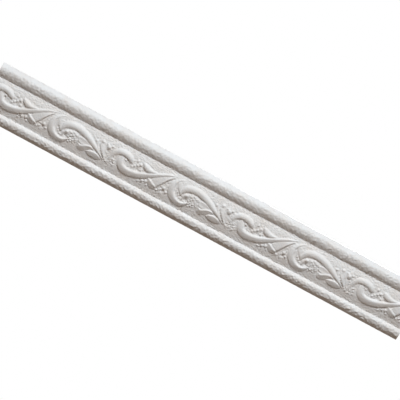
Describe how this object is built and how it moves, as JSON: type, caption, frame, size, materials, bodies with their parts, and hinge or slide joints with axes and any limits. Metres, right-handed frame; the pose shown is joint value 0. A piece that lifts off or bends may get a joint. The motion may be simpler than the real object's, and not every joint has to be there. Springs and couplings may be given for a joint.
{
  "type": "self-adhesive moulding",
  "caption": "Straight length of white foam wall border with a plain rail along each edge, a raised running leaf scroll between them, and an adhesive back.",
  "frame": {"origin": "centre of the flat adhesive back, on the face that meets the wall", "axes": "+X along the strip, +Z across its width and up the wall, +Y into the wall; the relief faces -Y"},
  "size_m": [0.6398, 0.01, 0.08],
  "materials": {
    "white_foam": "soft matt closed-cell foam with a fine pebbled skin",
    "adhesive_film": "thin milky pressure-sensitive adhesive, slightly glossy"
  },
  "bodies": {
    "root": {"foam_moulding": "white_foam", "adhesive_layer": "adhesive_film"}
  },
  "joints": []
}
